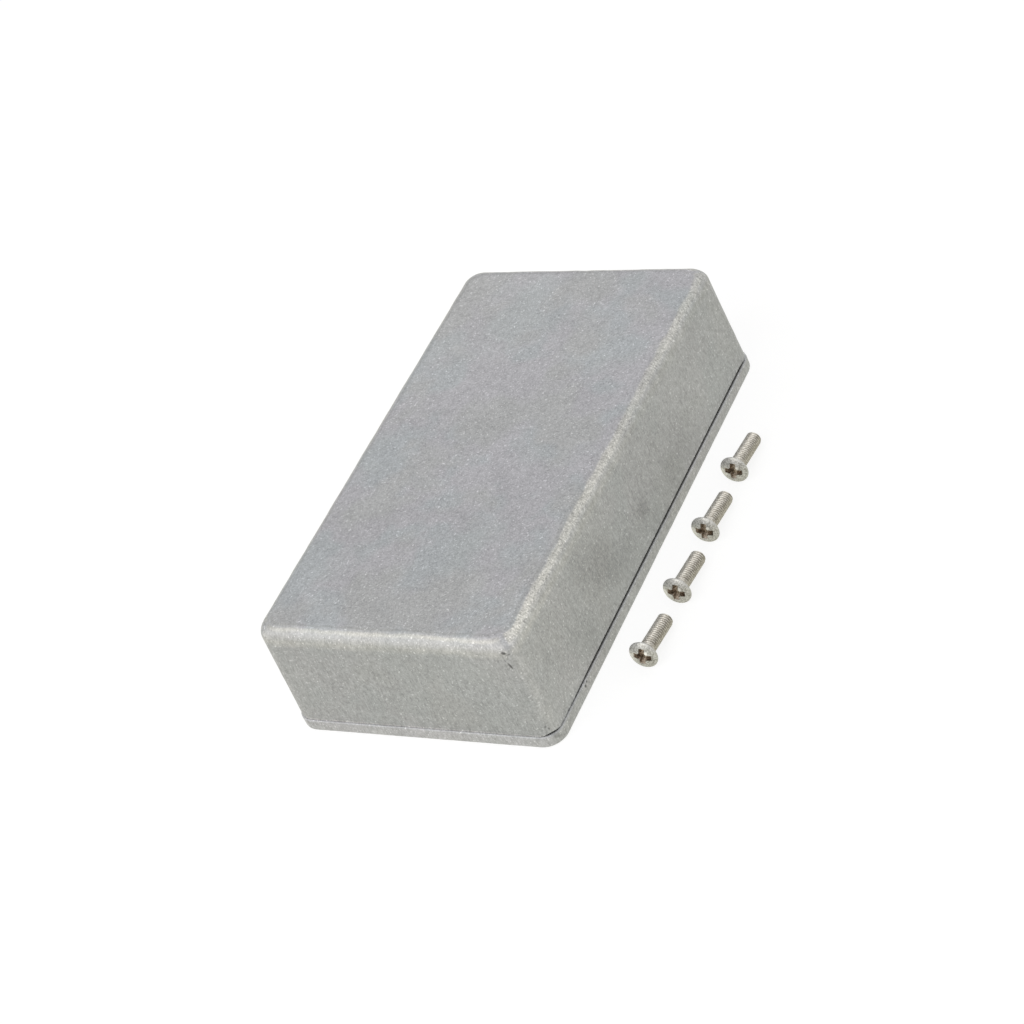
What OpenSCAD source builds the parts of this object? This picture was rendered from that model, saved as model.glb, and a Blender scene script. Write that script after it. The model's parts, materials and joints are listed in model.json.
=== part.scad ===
// Die-cast aluminium enclosure: a drafted box shell standing rim down on its flat lid,
// with the four lid screws taken out and laid in a row beside it.
// The origin is the centre of the lid's outer face. X runs across the box, Y along it, Z up.

/* [Box shell] */
// Length of the shell at its open rim
shell_l = 117; // [70:0.5:160]
// Width of the shell at its open rim
shell_w = 64.4; // [45:0.1:100]
// Height of the shell from its rim to its closed face
shell_h = 26.8; // [18:0.1:50]
// Thickness of the side walls at the rim
wall_t = 2.4; // [1.6:0.1:3]
// Thickness of the closed face
face_t = 2.6; // [1.6:0.1:4]
// Draft of the walls outside, in degrees
draft = 1.6; // [0.5:0.1:3]
// Draft of the walls inside, in degrees
core_draft = 2; // [0.5:0.1:3]
// Corner radius outside, at the rim
corner_r = 4.2; // [2.5:0.1:8]
// Radius of the round along the edges of the closed face
face_edge_r = 3.2; // [1:0.1:5]
// Radius inside, where the walls meet the closed face
core_edge_r = 2.1; // [0.5:0.1:4]

/* [Screw bosses] */
// Distance of each screw's axis from the outside of the rim
boss_inset = 6; // [5:0.1:8]
// Radius of a boss round its screw's axis
boss_r = 4.3; // [2.5:0.1:5]
// Core diameter of the tapped hole
tap_d = 2.9; // [2:0.1:3.5]
// Depth of the tapped hole
tap_depth = 13; // [8:0.5:16]
// Depth of the countersink at the tapped hole's mouth
tap_mouth = 0.4; // [0.1:0.1:0.8]

/* [Rim] */
// Length of the seat at each corner, from the end of the shell
seat_l = 7; // [5:0.5:16]
// Relief above the lid between the seats of a long side
long_relief = 0.4; // [0.1:0.05:0.8]
// Relief above the lid between the seats of a short side
short_relief = 0.1; // [0.05:0.05:0.8]

/* [Lid] */
// Thickness of the lid
lid_t = 3.2; // [2.4:0.1:5]
// How far the lid stands out past the shell's rim
lid_ledge = 0.5; // [0:0.1:2]
// Corner radius of the lid
lid_corner_r = 4.6; // [2.5:0.1:8]
// Radius of the round along the lid's outer edge
lid_edge_r = 0.75; // [0.2:0.05:1.2]
// Radius of the round along the lid's ledge
ledge_edge_r = 0.3; // [0.1:0.05:0.6]
// Height of the locating lip inside the shell
lip_h = 1.7; // [1:0.1:3]
// Thickness of the locating lip
lip_t = 1.5; // [1:0.1:2.5]
// Clearance between the locating lip and the shell
lip_gap = 0.25; // [0.1:0.05:0.5]
// Bevel along the top of the locating lip
lip_bevel = 0.4; // [0.1:0.1:0.8]
// Clearance of the lid's hole round the screw's thread
hole_gap = 0.2; // [0.1:0.05:0.4]
// Clearance of the lid's countersink round the screw's head
sink_gap = 0.2; // [0.1:0.05:0.4]

/* [Lid screws] */
// Thread diameter
screw_d = 3.5; // [2.5:0.1:4]
// Length from the rim of the head to the tip
screw_l = 12; // [7:0.5:14]
// Diameter of the head
head_d = 6.5; // [4.6:0.1:7.5]
// Height of the straight land round the head's rim
head_land = 0.3; // [0.1:0.05:0.5]
// Height of the raised crown over the rim
crown_h = 0.85; // [0.3:0.05:1.2]
// Bevel at the tip of the thread
tip_bevel = 0.5; // [0.1:0.1:0.8]
// Span of the cross recess at the crown
recess_span = 4.2; // [2:0.1:4.4]
// Width of one wing of the cross recess
wing_t = 1; // [0.5:0.05:1.2]
// Depth of the cross recess from the top of the crown
recess_depth = 2; // [1:0.1:2.2]
// Span of the cross recess at its floor
recess_floor = 1.4; // [0.9:0.1:2]

/* [Screws laid out] */
// Distance from the edge of the lid to the row of screws
row_gap = 10.5; // [5:0.05:30]
// Spacing of the screws along the row
row_pitch = 18.2; // [12:0.05:30]
// How far the middle of the row lies along the box from its centre
row_shift = -7.55; // [-20:0.05:20]
// Turn of each screw from the box's long side, in degrees
row_turn = 0; // [0:0.5:10]
// Turn of each screw about its own axis, in degrees
row_roll = 10; // [0:1:90]

/* [Hidden] */
$fn = 96;

// How far a cut runs past the surface that it opens
over = 1;
// How far a round stands proud of the flats that it blends, so that they always meet
hair = 0.0001;
// How far a round runs on under the flats that it blends
run_on = 0.05;
screw_count = 4;

lid_l = shell_l + 2 * lid_ledge;
lid_w = shell_w + 2 * lid_ledge;
boss_x = shell_w / 2 - boss_inset;
boss_y = shell_l / 2 - boss_inset;
core_h = shell_h - face_t;
core_x = shell_w / 2 - wall_t;
core_y = shell_l / 2 - wall_t;
lip_in = lip_gap + lip_h * tan(core_draft);
hole_d = screw_d + 2 * hole_gap;
sink_d = head_d + 2 * sink_gap;

// A round along an edge is limited by the corner that it runs round
function edge_room(foot_r, h, lean) = (foot_r * cos(lean) - h * sin(lean)) / (1 - sin(lean));
least_corner = 0.1;
face_round = min(face_edge_r, edge_room(corner_r, shell_h, draft) - least_corner);
core_corner_r = boss_inset - wall_t;
core_round = min(core_edge_r, edge_room(core_corner_r, core_h, core_draft) - least_corner);

// A screw at rest touches the ground with its head's land and with the end of its thread
rest_tilt = atan((head_d - screw_d) / 2 / (screw_l - tip_bevel - head_land));
rest_z = head_d / 2 * cos(rest_tilt) + head_land * sin(rest_tilt);

// A round of radius r, centred at height z, touches a wall that leans in by lean from foot_r
function round_x(foot_r, lean, r, z) = foot_r - (r + z * sin(lean)) / cos(lean);

// Sector of a round of radius r between the directions from and to
module sector(centre, r, from, to) {
    reach = 2 * r;
    middle = (from + to) / 2;
    translate(centre)
        intersection() {
            circle(r = r);
            polygon([
                [0, 0],
                reach * [cos(from), sin(from)],
                reach * [cos(middle), sin(middle)],
                reach * [cos(to), sin(to)]
            ]);
        }
}

// Section of a wall from its corner's axis outwards, leaning in by lean, with rounded edges
module wall_section(foot_r, h, lean, top_r, foot_edge_r = 0) {
    top = [round_x(foot_r, lean, top_r, h - top_r), h - top_r];
    top_past = asin(run_on / top_r);
    foot = [round_x(foot_r, lean, foot_edge_r, foot_edge_r), foot_edge_r];
    foot_past = foot_edge_r > 0 ? asin(run_on / foot_edge_r) : 0;
    out = [cos(lean), sin(lean)];
    low = foot_edge_r > 0
        ? [[0, 0], [foot.x, 0], foot, foot + foot_edge_r * out]
        : [[0, 0], [foot_r, 0]];
    polygon(concat(low, [top + top_r * out, top, [top.x, h], [0, h]]));
    sector(top, top_r + hair, lean - top_past, 90 + top_past);
    if (foot_edge_r > 0) sector(foot, foot_edge_r + hair, -90 - foot_past, lean + foot_past);
}

// Block with rounded upright corners, its wall section carried round all four sides
module rounded_block(l, w, foot_r, h, lean, top_r, foot_edge_r = 0) {
    half_x = w / 2 - foot_r;
    half_y = l / 2 - foot_r;
    translate([-half_x, -half_y, 0]) cube([2 * half_x, 2 * half_y, h]);
    for (side = [0:3]) {
        along_y = side % 2 == 0;
        near = along_y ? half_x : half_y;
        run = along_y ? half_y : half_x;
        rotate(90 * side)
            translate([near, 0, 0]) {
                rotate([90, 0, 0])
                    linear_extrude(2 * run, center = true)
                        wall_section(foot_r, h, lean, top_r, foot_edge_r);
                translate([0, run, 0])
                    rotate_extrude(angle = 90)
                        wall_section(foot_r, h, lean, top_r, foot_edge_r);
            }
    }
}

// Places its children at the four screw axes
module at_bosses() {
    for (x = [-boss_x, boss_x], y = [-boss_y, boss_y])
        translate([x, y, 0]) children();
}

// Plan of one boss, filling a corner of the cavity and rounded about its screw's axis
module boss_plan() {
    reach = boss_inset + over;
    translate([0, -boss_r]) square([reach, boss_r + reach]);
    translate([-boss_r, 0]) square([boss_r, reach]);
    sector([0, 0], boss_r, 180, 270);
}

// Cavity of the shell: drafted walls round a core, less the corner bosses
module core() {
    spread = 2 * over * tan(core_draft);
    difference() {
        translate([0, 0, -over])
            rounded_block(2 * core_y + spread, 2 * core_x + spread, core_corner_r + spread / 2,
                core_h + over, core_draft, core_round);
        for (flip_x = [0, 1], flip_y = [0, 1])
            mirror([flip_x, 0, 0])
                mirror([0, flip_y, 0])
                    translate([boss_x, boss_y, -2 * over])
                        linear_extrude(shell_h + 2 * over)
                            boss_plan();
    }
}

// Tapped hole with its countersunk mouth, opening at the rim
module tapped_hole() {
    translate([0, 0, -over]) cylinder(d = tap_d, h = tap_depth + over);
    translate([0, 0, -over])
        cylinder(d1 = tap_d + 2 * (tap_mouth + over), d2 = tap_d, h = tap_mouth + over);
}

// Shallow reliefs under the walls, which leave the rim standing on a seat at each corner
module rim_reliefs() {
    depth = wall_t + 2 * over;
    for (side = [0:3]) {
        along_y = side % 2 == 0;
        near = (along_y ? shell_w : shell_l) / 2 - wall_t - over;
        run = (along_y ? shell_l : shell_w) - 2 * seat_l;
        relief = along_y ? long_relief : short_relief;
        rotate(90 * side)
            translate([near, -run / 2, -over])
                cube([depth, run, over + relief]);
    }
}

module box_shell() {
    color([0.68, 0.68, 0.69])
        translate([0, 0, lid_t])
            difference() {
                rounded_block(shell_l, shell_w, corner_r, shell_h, draft, face_round);
                core();
                at_bosses() tapped_hole();
                rim_reliefs();
            }
}

// One straight run of the locating lip, along Y, its outer face at X = 0
module lip_bar(run) {
    rotate([90, 0, 0])
        linear_extrude(2 * run, center = true)
            polygon([
                [-lip_t, -over],
                [0, -over],
                [0, lip_h - lip_bevel],
                [-lip_bevel, lip_h],
                [-lip_t, lip_h]
            ]);
}

// Clearance hole for a screw, countersunk from the lid's outer face
module screw_hole() {
    sink_h = (sink_d - hole_d) / 2;
    translate([0, 0, -over]) cylinder(d = hole_d, h = lid_t + 2 * over);
    translate([0, 0, -over])
        cylinder(d1 = sink_d + 2 * over, d2 = hole_d, h = sink_h + over);
}

module lid() {
    color([0.66, 0.66, 0.67])
        difference() {
            union() {
                rounded_block(lid_l, lid_w, lid_corner_r, lid_t, 0, ledge_edge_r, lid_edge_r);
                for (side = [0:3]) {
                    along_y = side % 2 == 0;
                    wall = along_y ? core_x : core_y;
                    run = (along_y ? boss_y : boss_x) - boss_r - lip_gap;
                    rotate(90 * side)
                        translate([wall - lip_in, 0, lid_t])
                            lip_bar(run);
                }
            }
            at_bosses() screw_hole();
        }
}

// Section of a screw from its axis outwards: crown, land, countersunk cone and thread
module screw_section() {
    head_r = head_d / 2;
    thread_r = screw_d / 2;
    cone_end = head_land + head_r - thread_r;
    crown_r = (head_r * head_r + crown_h * crown_h) / (2 * crown_h);
    polygon([
        [0, 0],
        [head_r, 0],
        [head_r, head_land],
        [thread_r, cone_end],
        [thread_r, screw_l - tip_bevel],
        [thread_r - tip_bevel, screw_l],
        [0, screw_l]
    ]);
    intersection() {
        translate([0, crown_r - crown_h]) circle(r = crown_r);
        translate([0, -crown_h]) square([head_r, crown_h]);
    }
}

// Cross recess, its four wings tapering to the floor
module cross_recess() {
    for (turn = [0, 90])
        rotate(turn)
            intersection() {
                translate([-recess_span, -wing_t / 2, -over])
                    cube([2 * recess_span, wing_t, recess_depth + over]);
                cylinder(d1 = recess_span, d2 = recess_floor, h = recess_depth);
            }
}

// Raised countersunk screw, its axis along Z, the rim of its head at Z = 0
module screw() {
    difference() {
        rotate_extrude() screw_section();
        translate([0, 0, -crown_h]) cross_recess();
    }
}

module lid_screws() {
    color([0.74, 0.73, 0.70])
        for (place = [0:screw_count - 1]) {
            y = row_shift + (place - (screw_count - 1) / 2) * row_pitch;
            translate([lid_w / 2 + row_gap, y, rest_z])
                rotate([0, 0, -row_turn])
                    rotate([-90 - rest_tilt, 0, 0])
                        rotate(row_roll)
                            screw();
        }
}

box_shell();
lid();
lid_screws();
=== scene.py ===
"""Die-cast aluminium box standing on its lid, with the four lid screws laid beside it."""
import json
import math
from itertools import product

import bmesh
import bpy
import numpy as np
from mathutils import Matrix, Vector


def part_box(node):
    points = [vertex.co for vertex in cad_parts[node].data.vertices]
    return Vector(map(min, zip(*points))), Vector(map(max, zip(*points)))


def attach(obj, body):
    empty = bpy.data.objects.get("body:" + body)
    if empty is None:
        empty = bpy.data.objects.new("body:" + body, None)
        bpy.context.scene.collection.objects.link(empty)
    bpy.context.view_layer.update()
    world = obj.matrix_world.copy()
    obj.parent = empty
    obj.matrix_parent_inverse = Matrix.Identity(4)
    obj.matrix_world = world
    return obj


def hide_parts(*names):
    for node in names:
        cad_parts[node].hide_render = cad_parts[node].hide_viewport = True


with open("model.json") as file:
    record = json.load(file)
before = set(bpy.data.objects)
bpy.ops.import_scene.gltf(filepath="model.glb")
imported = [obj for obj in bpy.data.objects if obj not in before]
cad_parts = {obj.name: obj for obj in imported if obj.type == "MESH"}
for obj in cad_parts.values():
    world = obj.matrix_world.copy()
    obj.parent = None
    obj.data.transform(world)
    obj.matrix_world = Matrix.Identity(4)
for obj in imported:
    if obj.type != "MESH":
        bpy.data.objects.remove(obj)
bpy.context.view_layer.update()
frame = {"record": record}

# Sizes and places are in millimetres and angles in degrees
MM = 0.001


def box_of(node):
    """Lowest and highest corner of one of the frame's solids, in millimetres."""
    return [np.array(corner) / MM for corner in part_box(node)]


SHELL_LOW, SHELL_HIGH = box_of("box_shell")
LID_HIGH = box_of("lid")[1]
MOUNTS = {mount["name"]: mount for mount in frame["record"]["mounts"]}
SCREW_SPACING = MOUNTS["corner_screws"]["dims"]
BOSS_HALF = np.array([SCREW_SPACING["spacing_x_mm"], SCREW_SPACING["spacing_y_mm"]]) / 2

# Shell: walls, rounds and bosses
RIM_Z = SHELL_LOW[2]
TOP_Z = SHELL_HIGH[2]
SHELL_HALF = SHELL_HIGH[:2]
DRAFT = 1.6
CORNER_R = 3.75
FACE_EDGE_R = 3.3
RIM_EDGE_R = 0.03
WALL_T = 2.4
FACE_T = 2.6
CORE_DRAFT = 2.0
CORE_EDGE_R = 2.1
BOSS_R = 4.3
TAP_D = 2.9
TAP_DEPTH = 13.0
TAP_MOUTH = 0.4
DRILL_POINT = 31.0
# Where the wall turns into the round edge of the closed face
WALL_HIGH = TOP_Z - FACE_EDGE_R * (1 - math.sin(math.radians(DRAFT)))

# Rim: how far it clears the lid, and where the clearance closes
LONG_RELIEF = 0.46
LEFT_RELIEF = 0.26
CORNER_RELIEF = 0.50
RELIEF_NEAR = (-54.7, -36.5)
RELIEF_FAR = (51.5, 56.3)
RELIEF_FADE = (RIM_Z + 1, RIM_Z + 4.3)

# Wear, painted highlight and painted shade on the shell's round edge. Ranges are tilts in degrees, from 0
# on the closed face to 90 on the walls, and where there are two, a band comes in over the first and goes
# out over the second
FRONT_GLEAM = ((20, 26), (36, 44))
FRONT_RUB_HIGHLIGHT = (40, 64)
FRONT_LOW_RUB_HIGHLIGHT = (74, 84)
RIGHT_RUB_HIGHLIGHT = ((25, 34), (55, 75))
FRONT_SHADE_LINE = ((4, 10), (16, 22))
RIGHT_SHADE_LINE = ((6, 14), (26, 32))
FRONT_GRAIN = ((16, 26), (40, 55))
RIGHT_GRAIN = ((24, 34), (52, 72))
SHEEN_IN = (24, 32)
FRONT_SHEEN_OUT = (36, 50)
RIGHT_SHEEN_OUT = (50, 65)
# The right edge's wear and painted highlight come in patches, one in each length, counted from a place
# along Y
PATCH_LENGTH = 42
PATCH_FROM = -6.5

# Lid
LID_T = RIM_Z
LID_HALF = LID_HIGH[:2]
LID_CORNER_R = 4.6
LID_EDGE_R = 0.75
LEDGE_EDGE_R = 0.37
LIP_H = LID_HIGH[2] - LID_T
LIP_T = 1.5
LIP_GAP = 0.25
LIP_BEVEL = 0.4
LIP_ROOT = 0.6
HOLE_D = 3.9
SINK_D = 6.9

# Screws: raised countersunk heads with a cross recess, lying with head and tip on the floor
SCREW_D = 3.5
SCREW_L = 12.0
THREAD_PITCH = 0.6
THREAD_DEPTH = 0.36
HEAD_D = 6.5
HEAD_LAND = 0.3
CROWN_H = 0.85
TIP_BEVEL = 0.5
RECESS_SPAN = 5.4
RECESS_FLOOR = 2.5
RECESS_DEPTH = 1.5
RECESS_R = 1.2
WING_T = 1.5
WING_TAPER = 0.35
# Radius of the ball that the crown is a cap of, and where the head's cone meets the shank
CROWN_R = ((HEAD_D / 2) ** 2 + CROWN_H ** 2) / (2 * CROWN_H)
CONE_END = HEAD_LAND + (HEAD_D - SCREW_D) / 2
ROW_GAP = 10.5
ROW_PITCH = 18.2
ROW_SHIFT = -7.55
ROW_ROLL = 10.0
# Side of a laid screw whose thread is painted lit, and where a painted glint sits by its recess, from the
# middle of its rim
LIT_SIDE = (-0.25, 0.0, 0.97)
GLINT_AT = (1.1, -0.68, 1.03)
# Side of a laid head that looks at the dark of the box and is painted brighter, as painted light against
# the box's dark reflection
BOX_SIDE = (-0.7, 0.0, 0.7)
# How each screw lies off its even place: across, along and turned
ROW_STRAY = ((-0.2, 0.0, 0.15), (0.35, 0.08, 0.0), (-0.03, -0.12, -0.15), (-0.08, 0.03, -0.3))

# How far the cutters of holes and recesses reach past the faces that they cut
HOLE_OVER = 1.0
RECESS_OVER = 0.6
# Points closer than this are one point, and edges that turn by more than this angle stay sharp
WELD_REACH = 0.001
SHARP_ANGLE = 40

# Camera: where it stands, what it looks at, how far it is rolled, and its lens
CAMERA_AT = (335.49, -383.84, 404.82)
CAMERA_FORWARD = (-0.522149, 0.593251, -0.612709)
CAMERA_RIGHT = (0.852435, 0.385557, -0.353130)
SENSOR_W = 36.0
LENS = 103.442


# Shared shapes


def lattice(index, seed):
    """Fixed height from -1 to 1 for each lattice corner: the fraction of a large sine of its mixed
    indices."""
    mixed = np.sin(index @ np.array([127.1, 311.7, 74.7]) + seed * 19.19) * 43758.5453
    return 2 * (mixed - np.floor(mixed)) - 1


def soft_noise(points, cell, seed):
    """Smooth noise: the heights of the eight lattice corners round a point, blended by smoothstep."""
    place = points / cell
    low = np.floor(place)
    step = place - low
    step = step * step * (3 - 2 * step)
    total = np.zeros(points.shape[:-1])
    for corner in product((0, 1), repeat=3):
        weight = np.prod(np.where(corner, step, 1 - step), axis=-1)
        total = total + weight * lattice(low + np.array(corner), seed)
    return total


def smooth_step(value, low, high):
    """Zero below low, one above high, and a smooth cubic between."""
    t = np.clip((value - low) / (high - low), 0, 1)
    return t * t * (3 - 2 * t)


def band(value, rise, fall, left=0.0):
    """Climbs from zero to one over the first range, and goes down to what is left over the second."""
    return smooth_step(value, *rise) * (1 - (1 - left) * smooth_step(value, *fall))


def between(first, second, share):
    """The first value at a share of zero, the second at one, and a straight mix between."""
    return first + (second - first) * share


def grid_faces(rings, columns):
    """Quads between neighbouring rings of a grid whose columns close on themselves."""
    ring, column = np.meshgrid(np.arange(rings - 1), np.arange(columns), indexing="ij")
    after = (column + 1) % columns
    corners = [ring * columns + column, ring * columns + after,
               (ring + 1) * columns + after, (ring + 1) * columns + column]
    return np.stack(corners, axis=-1).reshape(-1, 4)


def add_object(name, data):
    """Puts a mesh, lamp or camera into the scene as an object."""
    thing = bpy.data.objects.new(name, data)
    bpy.context.scene.collection.objects.link(thing)
    return thing


def store(mesh, fields):
    """Keeps arrays of numbers on a mesh's points, each under its own name."""
    for name, values in fields.items():
        layer = mesh.attributes.new(name, "FLOAT", "POINT")
        layer.data.foreach_set("value", np.ascontiguousarray(values, dtype=np.float32).ravel())


def rework(mesh, change):
    """Lets a function change a mesh through Blender's editing form of it."""
    work = bmesh.new()
    work.from_mesh(mesh)
    change(work)
    work.to_mesh(mesh)
    work.free()


def weld(work):
    """Merges the points that lie on each other, which closes a grid's seams and poles."""
    bmesh.ops.remove_doubles(work, verts=work.verts, dist=WELD_REACH * MM)
    bmesh.ops.dissolve_degenerate(work, edges=work.edges, dist=WELD_REACH * MM * 0.1)


def face_out(work):
    """Turns the faces of a closed mesh outwards."""
    bmesh.ops.recalc_face_normals(work, faces=work.faces)


def smooth(mesh):
    """Smooth shading, kept apart at edges that turn by more than the sharp angle."""
    mesh.polygons.foreach_set("use_smooth", np.ones(len(mesh.polygons), dtype=bool))
    mesh.set_sharp_from_angle(angle=math.radians(SHARP_ANGLE))


def grid_mesh(name, grids, fields=None):
    """Mesh from closed grids of one size, their seams and poles welded.

    A grid has the shape rings, columns, 3 in millimetres. Each field is an array of rings by columns.
    """
    rings, columns = grids[0].shape[:2]
    count = rings * columns
    points = np.concatenate([grid.reshape(-1, 3) for grid in grids])
    faces = np.concatenate([grid_faces(rings, columns) + count * i for i in range(len(grids))])
    mesh = bpy.data.meshes.new(name)
    mesh.from_pydata((points * MM).tolist(), [], faces.tolist())
    store(mesh, fields or {})
    rework(mesh, weld)
    return mesh


def make_piece(name, grid, fields=None):
    """Object with smooth shading from one closed grid."""
    mesh = grid_mesh(name, [grid], fields)
    smooth(mesh)
    return add_object(name, mesh)


def carve(piece, operation, grids):
    """Cuts closed grids out of a piece, or joins them to it."""
    tool_mesh = grid_mesh("tool", grids)
    rework(tool_mesh, face_out)
    tool = add_object("tool", tool_mesh)
    modifier = piece.modifiers.new("carve", "BOOLEAN")
    modifier.operation = operation
    modifier.solver = "EXACT"
    modifier.object = tool
    graph = bpy.context.evaluated_depsgraph_get()
    carved = bpy.data.meshes.new_from_object(piece.evaluated_get(graph))
    piece.modifiers.clear()
    plain, piece.data = piece.data, carved
    carved.name = piece.name
    bpy.data.objects.remove(tool)
    bpy.data.meshes.remove(tool_mesh)
    bpy.data.meshes.remove(plain)
    smooth(carved)


def revolve(profile, columns):
    """Surface of revolution about Z: each profile point of radius and height carried round a circle."""
    turn = np.linspace(0, 2 * np.pi, columns, endpoint=False)
    radius, height = np.asarray(profile, dtype=float).T
    return np.stack([radius[:, None] * np.cos(turn), radius[:, None] * np.sin(turn),
                     np.repeat(height[:, None], columns, axis=1)], axis=-1)


def at_bosses(grid):
    """Four copies of a grid, one on each screw axis."""
    signs = product((-1, 1), repeat=2)
    return [grid + np.array([x * BOSS_HALF[0], y * BOSS_HALF[1], 0]) for x, y in signs]


# Outlines that go round the box in four quarters, each with a side and then a corner

SIDE_STEPS = 128
LEAD_STEPS = 8
ARC_STEPS = 16
QUARTER_STEPS = SIDE_STEPS + 2 * LEAD_STEPS + ARC_STEPS
COLUMNS = 4 * QUARTER_STEPS
QUARTERS = np.arange(4)
ACROSS = QUARTERS % 2
ALONG = 1 - ACROSS


def run(start, end, steps):
    """Even steps from start up to but not including end, each of them a column of the four quarters."""
    share = np.arange(steps) / steps
    return start[..., None] + (end - start)[..., None] * share


def turned(forward, left):
    """Turns each quarter's own forward and left places into X and Y."""
    cosine = np.array([1, 0, -1, 0])[:, None]
    sine = np.array([0, 1, 0, -1])[:, None]
    x = forward * cosine - left * sine
    y = forward * sine + left * cosine
    shape = x.shape[:-2] + (COLUMNS,)
    return x.reshape(shape), y.reshape(shape)


def outline_plan(half, radius):
    """Where each column sits on a rounded rectangle.

    A column hangs on a corner's centre, at shares forward and left of the half sizes, and looks out at
    an angle. The corner stretch begins beside the screw boss, so that it faces the boss inside.
    """
    one = np.ones(4)
    room = (BOSS_HALF - BOSS_R) / (half - radius)
    this_side, next_side = room[ALONG], room[ACROSS]
    angle = np.radians(90 * np.arange(ARC_STEPS) / ARC_STEPS)
    flat = np.zeros(4)
    forward = [run(one, one, SIDE_STEPS), run(one, one, LEAD_STEPS), run(one, one, ARC_STEPS),
               run(one, next_side, LEAD_STEPS)]
    left = [run(-this_side, this_side, SIDE_STEPS), run(this_side, one, LEAD_STEPS),
            run(one, one, ARC_STEPS), run(one, one, LEAD_STEPS)]
    facing = [run(flat, flat, SIDE_STEPS), run(flat, flat, LEAD_STEPS), flat[:, None] + angle,
              run(flat, flat, LEAD_STEPS) + np.pi / 2]
    return [np.concatenate(part, axis=1) for part in (forward, left, facing)]


def outline(half, radius, inset, plan):
    """Rounded rectangles of one corner radius, one for each inset: corner centre plus radius times
    facing."""
    forward, left, facing = plan
    room_f = (half[ACROSS] - radius - inset[:, None])[..., None]
    room_l = (half[ALONG] - radius - inset[:, None])[..., None]
    return turned(forward * room_f + radius * np.cos(facing), left * room_l + radius * np.sin(facing))


def facing_angle(plan):
    """Direction that each column looks out in, as an angle from X."""
    return (plan[2] + np.pi / 2 * QUARTERS[:, None]).reshape(-1)


def fill_in(x, y, z, shares):
    """Rings that close an outline over its middle line: each point slides to the nearest point of that
    line, by the share of the way that its ring has."""
    reach = max(np.abs(y).max() - np.abs(x).max(), 0)
    target = np.clip(y, -reach, reach)
    keep = 1 - shares[:, None]
    height = np.broadcast_to(z, (len(shares), len(x)))
    return np.stack([x * keep, y * keep + target * shares[:, None], height], axis=-1)


# Box shell


def cavity_outline(core_f):
    """Outline of the cavity, one ring for each pair of half sizes: straight walls, and round each screw
    boss."""
    f, l = core_f[:, ACROSS], core_f[:, ALONG]
    boss_f = np.broadcast_to(BOSS_HALF[ACROSS], f.shape)
    boss_l = np.broadcast_to(BOSS_HALF[ALONG], f.shape)
    near = boss_l - BOSS_R
    back = boss_f - BOSS_R
    angle = np.radians(-90 - 90 * np.arange(ARC_STEPS) / ARC_STEPS)
    forward = [run(f, f, SIDE_STEPS), run(f, boss_f, LEAD_STEPS),
               boss_f[..., None] + BOSS_R * np.cos(angle), run(back, back, LEAD_STEPS)]
    left = [run(-near, near, SIDE_STEPS), run(near, near, LEAD_STEPS),
            boss_l[..., None] + BOSS_R * np.sin(angle), run(boss_l, l, LEAD_STEPS)]
    return turned(np.concatenate(forward, axis=-1), np.concatenate(left, axis=-1))


def rim_relief(x, y, corner):
    """Height of the rim over the lid: it opens along each long side, less on the left, closes on the
    short sides, and is opened again round each corner."""
    long_side = np.abs(x) > SHELL_HALF[0] - CORNER_R
    right_open = LONG_RELIEF * (1 - smooth_step(y, *RELIEF_FAR))
    left_open = LEFT_RELIEF * smooth_step(-y, *RELIEF_NEAR)
    opened = smooth_step(y, *RELIEF_NEAR) * np.where(x > 0, right_open, left_open)
    side = np.where(long_side, opened, 0)
    return side * (1 - corner) + CORNER_RELIEF * corner ** 2


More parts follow.
